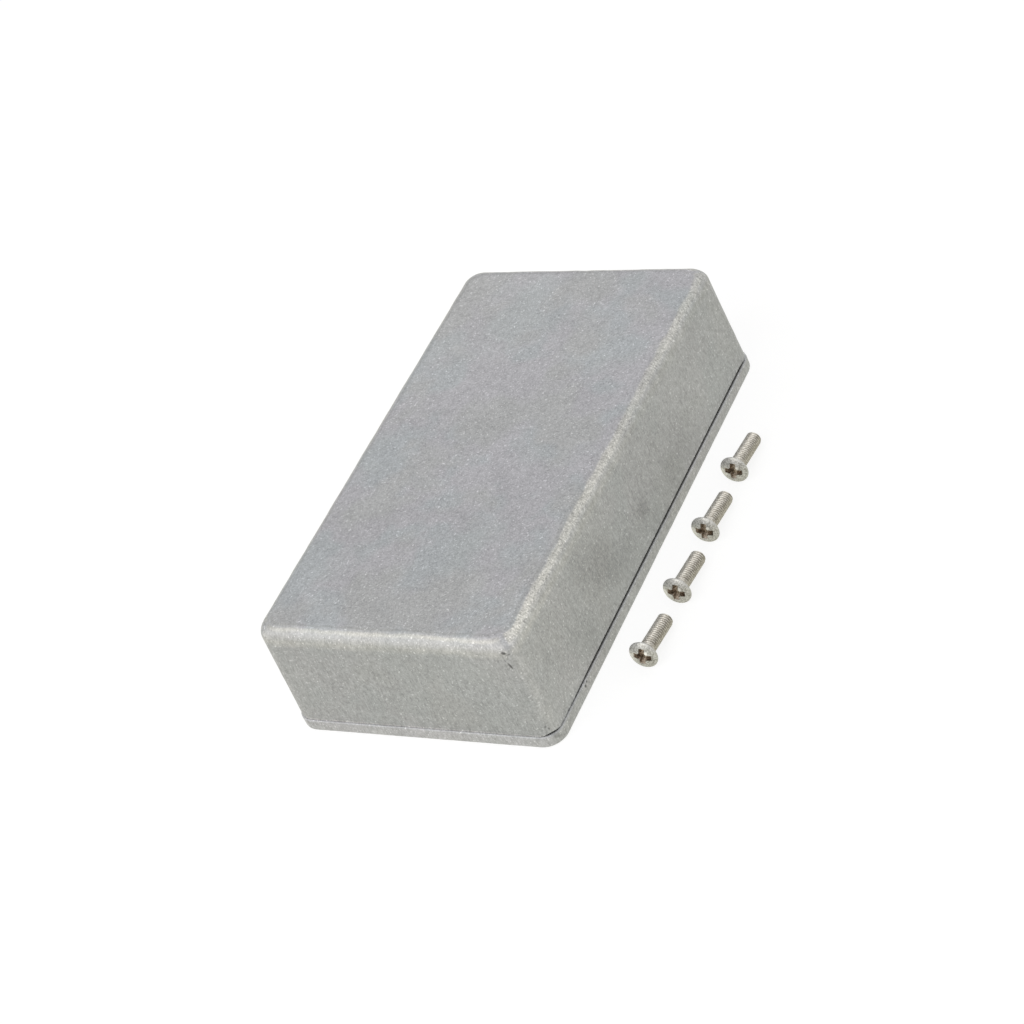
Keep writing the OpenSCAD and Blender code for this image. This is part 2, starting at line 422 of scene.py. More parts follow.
def outer_rings(plan, facing, arc):
    """Outer skin of the shell, the tilt of each ring's normal, and the rim's relief in each column.

    The rings go round the rim, up the drafted wall, over the round edge and in to the middle of the
    closed face, and each has an inset, a height and a tilt. Every point is pushed along its normal by
    noise that is strongest on the edges, as tumbling leaves them.
    """
    lean = math.radians(DRAFT)
    rim_tilt = np.radians(np.linspace(180, 90, 6))
    wall_low = RIM_Z + RIM_EDGE_R
    foot_z = wall_low + np.array([0.2, 0.45])
    wall_z = np.concatenate([foot_z, np.linspace(wall_low, WALL_HIGH, 30)[1:]])
    edge_tilt = np.linspace(np.pi / 2 - lean, 0, 22)[1:]
    centre_z = TOP_Z - FACE_EDGE_R
    centre_in = (centre_z - RIM_Z) * math.tan(lean) + FACE_EDGE_R / math.cos(lean)
    inset = np.concatenate([RIM_EDGE_R * (1 - np.sin(rim_tilt)), (wall_z - RIM_Z) * math.tan(lean),
                            centre_in - FACE_EDGE_R * np.sin(edge_tilt)])
    height = np.concatenate([RIM_Z + RIM_EDGE_R * (1 + np.cos(rim_tilt)), wall_z,
                             centre_z + FACE_EDGE_R * np.cos(edge_tilt)])
    x, y = outline(SHELL_HALF, CORNER_R, inset, plan)
    relief = rim_relief(x[0], y[0], arc)
    low = 1 - smooth_step(height, *RELIEF_FADE)
    skin = np.stack([x, y, height[:, None] + relief * low[:, None]], axis=-1)
    face = fill_in(x[-1], y[-1], TOP_Z, np.linspace(0, 1, 30)[1:] ** 1.3)
    outer = np.concatenate([skin, face])
    wall_tilt = np.full(len(wall_z), np.pi / 2 - lean)
    tilt = np.concatenate([rim_tilt, wall_tilt, edge_tilt, np.zeros(len(face))])[:, None]

    normal = np.stack([np.cos(facing) * np.sin(tilt), np.sin(facing) * np.sin(tilt),
                       np.broadcast_to(np.cos(tilt), outer.shape[:2])], axis=-1)
    edge = smooth_step(np.sin(2 * tilt).clip(0, 1), 0.1, 0.8) * (tilt < np.pi / 2)
    tumbled = np.maximum(edge, 0.6 * upright_edge(tilt, arc))
    fine = 0.045 * soft_noise(outer, 2.6, 5) + 0.02 * soft_noise(outer, 1.1, 8)
    push = 0.022 * soft_noise(outer, 9.0, 3) + tumbled * fine
    push = push * smooth_step(outer[..., 2], RIM_Z + 0.3, RIM_Z + 2)
    return outer + normal * push[..., None], tilt, relief


def upright_edge(tilt, arc):
    """One on the upright corner rounds, where a column's arc is one, fading out over the face's edge."""
    return arc * smooth_step(tilt, 0.6, 1.4)


def inner_rings(relief):
    """Inner skin of the shell: up the leaning wall from the rim, round a quarter circle into the ceiling
    and in to its middle."""
    ceiling = TOP_Z - FACE_T
    quarter = np.linspace(0, np.pi / 2, 8)[1:]
    core_z = np.concatenate([np.linspace(RIM_Z, ceiling - CORE_EDGE_R, 12),
                             ceiling - CORE_EDGE_R * (1 - np.sin(quarter))])
    up_round = (core_z - ceiling + CORE_EDGE_R).clip(0)
    turn_in = CORE_EDGE_R - np.sqrt((CORE_EDGE_R ** 2 - up_round ** 2).clip(0))
    core_in = (core_z - RIM_Z) * math.tan(math.radians(CORE_DRAFT)) + turn_in
    x, y = cavity_outline(SHELL_HALF - WALL_T - core_in[:, None])
    on_side = (np.arange(COLUMNS) % QUARTER_STEPS) < SIDE_STEPS
    raised = (1 - smooth_step(core_z, *RELIEF_FADE))[:, None] * (relief * on_side)
    core = np.stack([x, y, core_z[:, None] + raised], axis=-1)
    roof = fill_in(x[-1], y[-1], ceiling, np.linspace(0, 1, 12)[1:])
    return np.concatenate([core, roof])


def shell_wear_and_light(outer, tilt, facing, arc):
    """Fields of the outer skin for its finish and its painted light and shade.

    Bands follow the tilt, made ragged by noise, and differ between the front edge and the right one.
    rubbed is paler above zero, from wear and painted highlight, and darker below, mostly from painted
    shade;
    sheen is smoother, with a warm painted highlight tint, coarse has stronger grain, and closed is one on
    the closed face.
    """
    x, y, z = np.moveaxis(outer, -1, 0)
    on_right = smooth_step(np.cos(facing), 0.6, 0.9)
    on_front = smooth_step(-np.sin(facing), 0.6, 0.9)
    on_end = smooth_step(np.abs(np.sin(facing)), 0.8, 1.0)
    near = smooth_step(-y, -30, 40)
    left = smooth_step(-x, -10, 30)
    ragged = np.degrees(tilt) + 4 * soft_noise(outer, 2.7, 11) + 2.5 * soft_noise(outer, 1.0, 13)
    ragged = ragged + on_right * (3 * soft_noise(outer, 6.0, 19) - 2)

    # Rubbed bands with painted highlight over them, which end a little below the edge and almost stop at
    # the corners
    front = 0.25 * (1 - left) * band(ragged, *FRONT_GLEAM)
    front = front + 0.4 * smooth_step(ragged, *FRONT_RUB_HIGHLIGHT) + 0.1 * smooth_step(ragged, *FRONT_LOW_RUB_HIGHLIGHT)
    patchy = 0.15 * np.cos(2 * np.pi * (y - PATCH_FROM) / PATCH_LENGTH)
    right = (0.07 + 0.44 * near + patchy) * band(ragged, *RIGHT_RUB_HIGHLIGHT, left=0.5)
    kept = smooth_step(z + 0.3 * soft_noise(outer, 1.5, 17), WALL_HIGH - 1.4, WALL_HIGH - 0.4)
    kept = kept * (1 - 0.9 * smooth_step(arc, 0.93, 0.99))
    wear_and_painted_light = np.maximum(kept * between(front, right, on_right), 0.2 * upright_edge(tilt, arc))
    wear_and_painted_light = wear_and_painted_light * (0.85 + 0.3 * soft_noise(outer, 2.0, 15))

    # Painted shade lines above the bands, painted light and shade over the walls, slow changes over the
    # face, and painted light on the foot of the ends against the seam's shade
    shade_lines = between(0.32 * band(ragged, *FRONT_SHADE_LINE),
                   (0.1 + 0.2 * near) * band(ragged, *RIGHT_SHADE_LINE), on_right)
    # Painted light and shade on the walls: the right wall lighter towards the near end and darker towards
    # the far end, the front wall darker towards the right
    wall = smooth_step(tilt, 1.4, 1.5) * (tilt < np.pi / 2)
    wall = wall * (on_right * (0.23 * near - 0.13) + on_front * (0.18 * left - 0.14))
    # Lighter towards the far left of the closed face and darker towards its near end
    face_gradient = 0.14 * smooth_step(y, -10, 45) * smooth_step(-x, -20, 20) - 0.16 * smooth_step(-y, -10, 40)
    # Painted light on the foot of the short ends, lifting the shade of the seam
    foot = on_end * (1 - smooth_step(z, RIM_Z + 0.05, RIM_Z + 0.5))
    wear_and_painted_light = wear_and_painted_light - shade_lines * smooth_step(tilt, 0.03, 0.12) + wall + face_gradient * (tilt == 0) + 1.3 * foot

    sheen_out = [between(*ends, on_right) for ends in zip(FRONT_SHEEN_OUT, RIGHT_SHEEN_OUT)]
    sheen = kept * band(ragged, SHEEN_IN, sheen_out, left=0.25)
    coarse = kept * between(0.15 * band(ragged, *FRONT_GRAIN),
                            band(ragged, *RIGHT_GRAIN, left=0.2), on_right)
    closed = np.broadcast_to(1 - smooth_step(tilt, 0.2, 0.9), wear_and_painted_light.shape)
    return {"wear_and_painted_light": wear_and_painted_light, "sheen": sheen, "coarse": coarse, "closed": closed}


def shell_surface():
    """The whole skin of the shell as one grid: inner rings from the middle of the ceiling out and down to
    the rim, then outer rings from the rim up and in to the middle of the closed face."""
    plan = outline_plan(SHELL_HALF, CORNER_R)
    facing = facing_angle(plan)
    arc = np.sin(2 * plan[2]).clip(0, 1).reshape(-1)
    outer, tilt, relief = outer_rings(plan, facing, arc)
    inner = inner_rings(relief)[::-1]
    plain = np.zeros(inner.shape[:2])
    fields = shell_wear_and_light(outer, tilt, facing, arc)
    fields = {name: np.concatenate([plain, values]) for name, values in fields.items()}
    return np.concatenate([inner, outer]), fields


def tapped_hole():
    """Cutter for one tapped hole: a countersunk mouth, a plain bore and a drill point."""
    radius = TAP_D / 2
    end = RIM_Z + TAP_DEPTH
    profile = [(0, RIM_Z - HOLE_OVER), (radius + TAP_MOUTH + HOLE_OVER, RIM_Z - HOLE_OVER),
               (radius, RIM_Z + TAP_MOUTH), (radius, end),
               (0, end + radius * math.tan(math.radians(DRILL_POINT)))]
    return revolve(profile, 48)


def box_shell():
    """The shell casting: its skin, with a tapped hole cut into each boss."""
    shell = make_piece("shell_casting", *shell_surface())
    carve(shell, "DIFFERENCE", at_bosses(tapped_hole()))
    return shell


# Lid


def lid_surface():
    """The lid's plate as rings: from the middle of its outer face out, round the edge, up the side,
    round the ledge and back in to the middle. Its edge is pushed by a little noise."""
    plan = outline_plan(LID_HALF, LID_CORNER_R)
    facing = facing_angle(plan)
    low_tilt = np.radians(np.linspace(180, 90, 9))
    high_tilt = np.radians(np.linspace(90, 0, 7))
    side_z = np.linspace(LID_EDGE_R, LID_T - LEDGE_EDGE_R, 6)[1:-1]
    inset = np.concatenate([LID_EDGE_R * (1 - np.sin(low_tilt)), np.zeros(len(side_z)),
                            LEDGE_EDGE_R * (1 - np.sin(high_tilt))])
    height = np.concatenate([LID_EDGE_R * (1 + np.cos(low_tilt)), side_z,
                             LID_T - LEDGE_EDGE_R * (1 - np.cos(high_tilt))])
    tilt = np.concatenate([low_tilt, np.full(len(side_z), np.pi / 2), high_tilt])[:, None]
    x, y = outline(LID_HALF, LID_CORNER_R, inset, plan)
    rim = np.stack([x, y, np.broadcast_to(height[:, None], x.shape)], axis=-1)
    normal = np.stack([np.cos(facing) * np.sin(tilt), np.sin(facing) * np.sin(tilt),
                       np.zeros(x.shape)], axis=-1)
    push = 0.02 * soft_noise(rim, 4.0, 21) + 0.02 * soft_noise(rim, 1.4, 23) - 0.03
    rim = rim + normal * push[..., None]
    # Two rings close to the ledge, then even ones
    shares = np.concatenate([[0.01, 0.03], np.linspace(0, 1, 16)[1:]])
    under = fill_in(rim[0, :, 0], rim[0, :, 1], 0.0, shares)[::-1]
    upper = fill_in(rim[-1, :, 0], rim[-1, :, 1], LID_T, shares)

    # Rubbed along the edge and in front, darker on the long sides, and painted shade on their ledge,
    # deepest under the shell's rim
    edge = smooth_step(np.abs(np.sin(2 * tilt)), 0.1, 0.8)
    ledge = smooth_step(-tilt, -1.5, -1.2)
    on_front = smooth_step(-np.sin(facing), 0.5, 1.0)
    on_long = smooth_step(np.abs(np.cos(facing)), 0.6, 0.9)
    wear_and_painted_light = np.maximum(0.4 * edge, 0.5 * on_front) * (0.8 + 0.4 * soft_noise(rim, 3.0, 27))
    wear_and_painted_light = (wear_and_painted_light - 0.22 * on_long) * (1 - ledge) + ledge * (0.05 * on_front - 0.25 * on_long)
    plain = np.zeros(under.shape[:2])
    shaded = -0.95 * on_long * (1 - smooth_step(shares, 0.1, 0.3))[:, None]
    return np.concatenate([under, rim, upper]), {"wear_and_painted_light": np.concatenate([plain, wear_and_painted_light, shaded])}


def lip_bar(side):
    """One straight bar of the locating lip: a bevelled section carried along its run, with a ring drawn
    together at the section's middle to close each end."""
    lean = LIP_GAP + LIP_H * math.tan(math.radians(CORE_DRAFT))
    across, along = side % 2, 1 - side % 2
    wall = SHELL_HALF[across] - WALL_T - lean
    half_run = BOSS_HALF[along] - BOSS_R - LIP_GAP
    section = np.array([(-LIP_T, -LIP_ROOT), (0, -LIP_ROOT), (0, LIP_H - LIP_BEVEL),
                        (-LIP_BEVEL, LIP_H), (-LIP_T, LIP_H)])
    middle = np.broadcast_to(section.mean(0), section.shape)
    rings = np.stack([middle, section, section, middle])
    left = np.array([-half_run, -half_run, half_run, half_run])[:, None]
    bar = np.stack([wall + rings[..., 0], np.broadcast_to(left, rings.shape[:2]), LID_T + rings[..., 1]],
                   axis=-1)
    turn = np.array(Matrix.Rotation(math.radians(90 * side), 3, "Z"))
    return bar @ turn.T


def screw_hole():
    """Cutter for one of the lid's holes: a right-angled countersink from the outer face and a plain
    bore."""
    sink_h = (SINK_D - HOLE_D) / 2
    profile = [(0, -HOLE_OVER), (SINK_D / 2 + HOLE_OVER, -HOLE_OVER), (HOLE_D / 2, sink_h),
               (HOLE_D / 2, LID_T + HOLE_OVER), (0, LID_T + HOLE_OVER)]
    return revolve(profile, 64)


def lid():
    """The lid casting: its plate, with the lip's bars joined on and the screw holes cut."""
    plate = make_piece("lid_casting", *lid_surface())
    carve(plate, "UNION", [lip_bar(side) for side in range(4)])
    carve(plate, "DIFFERENCE", at_bosses(screw_hole()))
    return plate


# Screws

SCREW_COLUMNS = 64


def thread_radius(height, turn):
    """Radius of a ridged thread: a flat-topped sixty-degree ridge that climbs one pitch in each turn,
    fading out under the head."""
    phase = (height / THREAD_PITCH - turn / (2 * np.pi)) % 1
    ridge = np.clip(1.35 * (1 - np.abs(2 * phase - 1)) - 0.12, 0, 1)
    full = smooth_step(height, CONE_END + 0.1, CONE_END + 0.9)
    depth = THREAD_DEPTH * (1 - ridge) * full
    return SCREW_D / 2 - depth


def screw_surface():
    """One screw about Z, its rim at zero and its tip above: rings over the crown, round the land,
    down the cone, along the thread and over the tip. Every ring is radius by turn at one height."""
    turn = np.linspace(0, 2 * np.pi, SCREW_COLUMNS, endpoint=False)
    head_r, thread_r = HEAD_D / 2, SCREW_D / 2
    spread = np.linspace(0, math.asin((head_r - 0.12) / CROWN_R), 16)
    crown = np.stack([CROWN_R * np.sin(spread), CROWN_R * (1 - np.cos(spread)) - CROWN_H], axis=-1)
    land = np.array([(head_r - 0.04, 0.02), (head_r, 0.10), (head_r, HEAD_LAND - 0.05),
                     (head_r - 0.05, HEAD_LAND + 0.03)])
    share = np.linspace(0, 1, 8)[1:, None]
    cone = between(land[-1], np.array([thread_r + 0.06, CONE_END - 0.06]), share)
    head = revolve(np.concatenate([crown, land, cone]), SCREW_COLUMNS)
    shank_z = np.arange(CONE_END + 0.02, SCREW_L - 0.01, THREAD_PITCH / 10)
    radius = thread_radius(shank_z[:, None], turn)
    radius = np.minimum(radius, thread_r - TIP_BEVEL + SCREW_L - shank_z[:, None])
    shank = np.stack([radius * np.cos(turn), radius * np.sin(turn),
                      np.broadcast_to(shank_z[:, None], radius.shape)], axis=-1)
    tip = np.stack([shank[-1] * [0.6, 0.6, 1], shank[-1] * [0, 0, 1]]) + [0, 0, SCREW_L - shank_z[-1]]
    return np.concatenate([head, shank, tip])


def recess_wing():
    """Cutter for one pair of wings of the cross recess: a bar that narrows to the recess's floor."""
    share = np.array([0.0, 0.0, 1.0, 1.0])
    reach = (RECESS_SPAN + (RECESS_FLOOR - RECESS_SPAN) * share) / 2
    width = WING_T * (1 - WING_TAPER * share) / 2
    depth = -CROWN_H + RECESS_DEPTH * share - RECESS_OVER * (1 - share)
    corner = np.array([(1, 1), (-1, 1), (-1, -1), (1, -1)])
    grid = np.stack([corner[:, 0] * reach[:, None], corner[:, 1] * width[:, None],
                     np.repeat(depth[:, None], 4, axis=1)], axis=-1)
    grid[[0, 3], :, :2] = 0
    return grid


def recess_cone():
    """Cutter for the middle of the cross recess: a cone that narrows to its floor."""
    floor_z = RECESS_DEPTH - CROWN_H
    profile = [(0, -CROWN_H - RECESS_OVER), (RECESS_R, -CROWN_H - RECESS_OVER), (RECESS_R, -CROWN_H),
               (RECESS_FLOOR * 0.25, floor_z - 0.05), (0, floor_z + 0.1)]
    return revolve(profile, 32)


def screw_shape():
    """One upright screw with its recess cut."""
    blank = make_piece("screw_blank", screw_surface())
    rework(blank.data, face_out)
    quarter = np.array(Matrix.Rotation(math.radians(90), 3, "Z"))
    for cutter in (recess_wing(), recess_wing() @ quarter.T, recess_cone()):
        carve(blank, "DIFFERENCE", [cutter])
    return blank


def screw_fields(points, radius):
    """Fields of an upright screw for its finish and painted shade: how deep in the recess and at its
    wings' tips, how deep in the thread, and how far along the shank and out on the rim."""
    height = points[:, 2]
    crown = CROWN_R - np.sqrt((CROWN_R ** 2 - radius ** 2).clip(0)) - CROWN_H
    in_recess = (radius < RECESS_SPAN / 2 + 0.05) & (height < RECESS_DEPTH - CROWN_H + 0.01)
    sunk = smooth_step(np.where(in_recess, height - crown, 0), 0.0, 0.5)
    shank = smooth_step(height, CONE_END - 0.3, CONE_END + 0.1)
    groove = shank * (SCREW_D / 2 - radius) / THREAD_DEPTH
    return {"recess": sunk, "groove": groove.clip(0, 1), "shank": shank,
            "tip": sunk * smooth_step(radius, 0.25 * RECESS_SPAN, 0.45 * RECESS_SPAN),
            "rim": smooth_step(radius, HEAD_D / 2 - 0.3, HEAD_D / 2 - 0.05)}


def lid_screws():
    """Four screws in a row, each the upright screw turned and moved so that its head's land and its tip
    rest on the floor."""
    blank = screw_shape()
    mesh = blank.data
    points = np.empty(len(mesh.vertices) * 3, dtype=np.float32)
    mesh.vertices.foreach_get("co", points)
    points = points.reshape(-1, 3) / MM
    radius = np.hypot(points[:, 0], points[:, 1])
    store(mesh, screw_fields(points, radius))
    level = np.stack([points[:, 0], points[:, 1], 0 * radius], axis=-1)
    outward = level / np.maximum(radius, 0.01)[:, None]
    drop = (HEAD_D - SCREW_D) / 2
    tilt = math.atan(drop / (SCREW_L - TIP_BEVEL - HEAD_LAND))
    rest_z = HEAD_D / 2 * math.cos(tilt) + HEAD_LAND * math.sin(tilt)
    screws = []
    for place, (across, along, turn) in enumerate(ROW_STRAY):
        at = np.array(Vector((LID_HALF[0] + ROW_GAP + across,
                              ROW_SHIFT + (place - 1.5) * ROW_PITCH + along, rest_z)))
        lie = np.array(Matrix.Rotation(math.radians(-turn), 3, "Z")
                       @ Matrix.Rotation(math.radians(-90) - tilt, 3, "X")
                       @ Matrix.Rotation(math.radians(ROW_ROLL), 3, "Z"))
        laid = points @ lie.T + at
        from_rim = laid - at
        copy = mesh.copy()
        copy.name = f"lid_screw_{place + 1}"
        copy.vertices.foreach_set("co", (laid * MM).astype(np.float32).ravel())
        copy.update()
        # Painted light fields: the lit side of the thread, the glint by the recess and the side towards
        # the box
        store(copy, {"lit_side": smooth_step((outward @ lie.T) @ np.array(LIT_SIDE), 0.25, 0.9),
                     "glint": 1 - smooth_step(np.linalg.norm(from_rim - GLINT_AT, axis=-1), 0.2, 0.6),
                     "boxward": smooth_step(from_rim @ np.array(BOX_SIDE), -0.6, 2.6)})
        screws.append(add_object(copy.name, copy))
    bpy.data.objects.remove(blank)
    bpy.data.meshes.remove(mesh)
    return screws


# Finishes


def display(red, green, blue):
    """Linear colour of a display colour from 0 to 255."""
    share = np.array([red, green, blue]) / 255
    linear = np.where(share <= 0.04045, share / 12.92, ((share + 0.055) / 1.055) ** 2.4)
    return (*linear.tolist(), 1.0)


class Finish:
    """One metal's material, with short calls that each add a node or two and give the output."""

    def __init__(self, name):
        self.material = bpy.data.materials.new(name)
        self.material.use_nodes = True
        self.nodes = self.material.node_tree.nodes
        self.links = self.material.node_tree.links
        self.shader = self.nodes["Principled BSDF"]
        self.shader.inputs["Metallic"].default_value = 1.0
        self.place = self.nodes.new("ShaderNodeTexCoord").outputs["Object"]

    def feed(self, socket, value):
        """Links an output to a socket, or sets the socket's own value."""
        if isinstance(value, bpy.types.NodeSocket):
            self.links.new(value, socket)
        else:
            socket.default_value = value

    def placed(self, centre=(0, 0, 0), turn=(0, 0, 0), scale=(1, 1, 1)):
        """Object coordinates, moved, turned and scaled to a pattern's own place."""
        node = self.nodes.new("ShaderNodeMapping")
        node.vector_type = "TEXTURE"
        self.feed(node.inputs["Vector"], self.place)
        node.inputs["Location"].default_value = [c * MM for c in centre]
        node.inputs["Rotation"].default_value = [math.radians(t) for t in turn]
        node.inputs["Scale"].default_value = scale
        return node.outputs["Vector"]

    def noise(self, cell, detail=2.0, stretch=(1, 1, 1), turn=(0, 0, 0)):
        """Noise whose blobs are about one cell wide, in millimetres, stretched along turned axes."""
        node = self.nodes.new("ShaderNodeTexNoise")
        self.feed(node.inputs["Vector"], self.placed(turn=turn, scale=stretch))
        node.inputs["Scale"].default_value = 1 / (cell * MM)
        node.inputs["Detail"].default_value = detail
        return node.outputs["Fac"]

    def fade(self, value, low, high, start=0.0, end=1.0):
        """Smooth step of a value from low to high, giving start to end."""
        node = self.nodes.new("ShaderNodeMapRange")
        node.interpolation_type = "SMOOTHSTEP"
        for socket, amount in zip(("Value", "From Min", "From Max", "To Min", "To Max"),
                                  (value, low, high, start, end)):
            self.feed(node.inputs[socket], amount)
        return node.outputs["Result"]

    def sum(self, first, second, kind="ADD"):
        """Sum, product or other plain arithmetic of two values."""
        node = self.nodes.new("ShaderNodeMath")
        node.operation = kind
        self.feed(node.inputs[0], first)
        self.feed(node.inputs[1], second)
        return node.outputs[0]

    def blend(self, factor, first, second, kind="MIX"):
        """Mixes two colours by a factor."""
        node = self.nodes.new("ShaderNodeMix")
        node.data_type = "RGBA"
        node.blend_type = kind
        self.feed(node.inputs["Factor"], factor)
        self.feed(node.inputs[6], first)
        self.feed(node.inputs[7], second)
        return node.outputs[2]

    def attribute(self, name):
        """A value stored on the mesh."""
        node = self.nodes.new("ShaderNodeAttribute")
        node.attribute_name = name
        return node.outputs["Fac"]

    def cover(self, colour, over, value, low=0.0, high=1.0, amount=1.0):
        """Lays a colour over another, up to an amount, where a value goes from low to high."""
        return self.blend(self.fade(value, low, high, 0.0, amount), colour, over)

    def mottled(self, noise, tones, low=0.35):
        """A dark and a light tone, parted by the middle of a noise."""
        return self.cover(display(*tones[0]), display(*tones[1]), noise, low, 1 - low)

    def spot(self, centre, reach, turn=(0, 0, 0)):
        """One inside an ellipsoid of the object, fading to zero at its surface."""
        length = self.nodes.new("ShaderNodeVectorMath")
        length.operation = "LENGTH"
        self.feed(length.inputs[0], self.placed(centre, turn, [r * MM for r in reach]))
        return self.fade(length.outputs["Value"], 1.0, 0.3)

    def bump(self, height, distance, strength):
        """Small relief from a height, its full depth given in millimetres."""
        node = self.nodes.new("ShaderNodeBump")
        node.inputs["Strength"].default_value = strength
        node.inputs["Distance"].default_value = distance * MM
        self.feed(node.inputs["Height"], height)
        self.feed(self.shader.inputs["Normal"], node.outputs["Normal"])


# Tones of the castings: plain and pale where worn and painted highlight lies, painted light on the foot of
# the ends, painted shade, marks, and the warm tint of painted highlight
SHELL_TONE = np.array([174.9, 175.4, 177.3])
SHELL_PALE = (205, 204, 203)
LID_TONE = np.array([180.5, 180.5, 182])
LID_PALE = (197, 196, 201)
FOOT_LIGHT_TONE = (242, 240, 234)
PAINTED_SHADE_TONE = (119, 118, 110)
MARK_TONE = (38, 36, 33)
HIGHLIGHT_TINT = (1.0, 0.988, 0.935, 1.0)
# Faint tints of a raw casting: the size of a cloud, its turn and how its colour leans
TINTS = (
    (24.0, (0, 0, 0), (-2.5, 0, -0.5)),
    (13.0, (20, 40, 0), (-2.5, 0, 0.5)),
    (17.0, (50, 10, 30), (-1.5, -1.5, -3)),
)
# How the colour leans between the tints, lighter and cooler on the closed face as painted light, and on
# the walls, where the tints are fainter, darker and greener as painted shade
FACE_LEAN = (1, -0.3, 1)
PLAIN_LEAN = (-1.25, -0.6, -0.8)
# Light and dark of a casting's skin: the size of a blob, its stretch and turn, and its swing
FINE_GRAIN = (
    (0.36, (1, 1, 1), (0, 0, 0), 0.12),
    (0.26, (5, 1, 1), (0, 0, 47), 0.05),
    (0.36, (1, 1, 4), (0, 0, 0), 0.12),
)
CLOUDING = (
    (1.0, (1, 1, 1), (30, 10, 60), 0.055),
    (4.0, (1, 1, 2), (20, 0, 0), 0.02),
    (9.0, (1, 1, 1), (40, 0, 25), 0.02),
    (28.0, (1, 1, 1), (15, 35, 0), 0.02),
)
# How much stronger the grain is where it is coarse
COARSE_GRAIN = 1.65
# A casting's roughness from the lows of its grain to the highs, and how much smoother the sheen is
CAST_ROUGH = (0.54, 0.62)
SHEEN_SMOOTHER = 0.13


def cast_finish(name, tone, pale, marks):
    """Raw tumbled aluminium: clouded and faintly tinted grey with streaky grain and bright specks, paler
    where worn and under painted highlights, smoother with a warm painted tint under the sheen, painted
    light on the foot of the ends, painted shade, and a closed face painted lighter and cooler than the
    walls."""
    finish = Finish(name)
    wear_and_painted_light = finish.attribute("wear_and_painted_light")
    sheen = finish.attribute("sheen")
    tinted = display(*(tone + FACE_LEAN))
    for cell, turn, lean in TINTS:
        cloud = finish.noise(cell, 3.0, turn=turn)
        tinted = finish.cover(tinted, display(*(tone + lean)), cloud, 0.48, 0.62)
    # The closed face's lighter, cooler lean against the walls' darker, greener one is painted light and
    # shade
    colour = finish.blend(finish.fade(finish.attribute("closed"), 0.0, 1.0, 0.3, 1.0),
                          display(*(tone + PLAIN_LEAN)), tinted)
    # Pale where worn and where painted highlight lies
    paler = finish.sum(finish.sum(wear_and_painted_light, 0.0, "MAXIMUM"), 0.9, "MINIMUM")
    colour = finish.blend(paler, colour, display(*pale))
    # Painted light on the foot of the ends
    colour = finish.cover(colour, display(*FOOT_LIGHT_TONE), wear_and_painted_light, 1.0, 2.0, 0.35)
    # Warm painted highlight tint under the sheen
    colour = finish.blend(sheen, colour, HIGHLIGHT_TINT, "MULTIPLY")
    # Painted shade where the field is below zero
    colour = finish.cover(colour, display(*PAINTED_SHADE_TONE), wear_and_painted_light, -0.02, -1.0, 0.8)

    light, relief = 0.0, 0.0
    for cell, stretch, turn, swing in FINE_GRAIN:
        grain = finish.noise(cell, 3.0, stretch, turn)
        light = finish.sum(finish.fade(grain, 0.28, 0.72, -swing, swing), light)
        relief = finish.sum(grain, relief)
    for cell, stretch, turn, swing in CLOUDING:
        cloud = finish.noise(cell, 2.0, stretch, turn)
        light = finish.sum(finish.fade(cloud, 0.3, 0.7, -swing, swing), light)
    stronger = finish.fade(finish.attribute("coarse"), 0.0, 1.0, 1.0, COARSE_GRAIN)
    light = finish.sum(light, stronger, "MULTIPLY")
    specks = finish.fade(finish.noise(0.52, 1.0, turn=(10, 0, 50)), 0.65, 0.73, 0.0, 0.45)
    flecks = finish.fade(finish.noise(0.30, 1.0, (4, 1, 1), (0, 20, 40)), 0.68, 0.78, 0.0, 0.30)
    light = finish.sum(finish.sum(light, finish.sum(specks, flecks)), 1.0)
    shade = finish.nodes.new("ShaderNodeCombineColor")
    for channel in ("Red", "Green", "Blue"):
        finish.feed(shade.inputs[channel], light)
    colour = finish.blend(1.0, colour, shade.outputs["Color"], "MULTIPLY")
    for centre, reach, turn, depth in marks:
        dark = finish.sum(finish.spot(centre, reach, turn), depth, "MULTIPLY")
        colour = finish.blend(dark, colour, display(*MARK_TONE))
    finish.feed(finish.shader.inputs["Base Color"], colour)
    rough = finish.fade(relief, 1.2, 1.8, *CAST_ROUGH)
    rough = finish.sum(rough, finish.fade(sheen, 0.0, 1.0, 0.0, SHEEN_SMOOTHER), "SUBTRACT")
    finish.feed(finish.shader.inputs["Roughness"], rough)
    finish.bump(relief, 0.015, 0.5)
    return finish.material


# Tones of the plating: dark and light of its mottling, or one tone. The boxward, lit and shaded thread,
# groove, recess and wing-tip tones are painted light and shade, and the glint tone is a painted glint
HEAD_TONES = ((150, 148, 142), (202, 201, 197))
BOXWARD_LIGHT_TONES = ((206, 204, 198), (246, 245, 241))
LIT_THREAD_TONES = ((194, 189, 180), (236, 233, 226))
SHADED_THREAD_TONES = ((150, 145, 136), (196, 192, 184))
RECESS_SHADE_TONES = ((130, 118, 105), (194, 181, 166))
RIM_TONE = (190, 189, 186)
GROOVE_SHADE_TONE = (134, 129, 120)
WING_TIP_SHADE_TONE = (52, 45, 38)
GLINT_TONE = (253, 251, 246)
PLATE_ROUGH = (0.36, 0.46)


